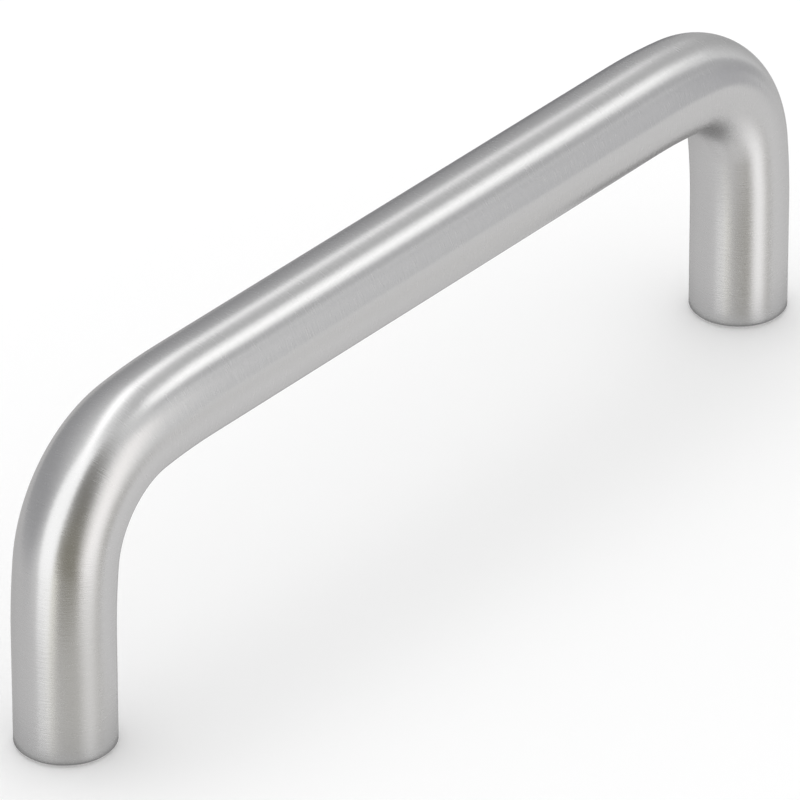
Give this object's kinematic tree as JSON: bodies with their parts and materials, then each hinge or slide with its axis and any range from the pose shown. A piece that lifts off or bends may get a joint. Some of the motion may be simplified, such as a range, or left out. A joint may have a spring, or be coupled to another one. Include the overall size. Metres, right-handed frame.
{
  "type": "u-shaped cabinet handle",
  "caption": "U-shaped handle for a cabinet door or drawer: a solid round metal bar bent into legs and a straight grip, with a tapped blind hole in the face of each foot.",
  "frame": {"origin": "midway between the two feet, on the plane of the cabinet's face that they stand on", "axes": "+X along the grip, from one foot to the other; +Z away from the cabinet's face; +Y across the bar"},
  "size_m": [0.14, 0.012, 0.042],
  "materials": {
    "satin_steel": "satin, with fine grain round the bar"
  },
  "bodies": {
    "root": {"handle_bar": "satin_steel"}
  },
  "joints": []
}
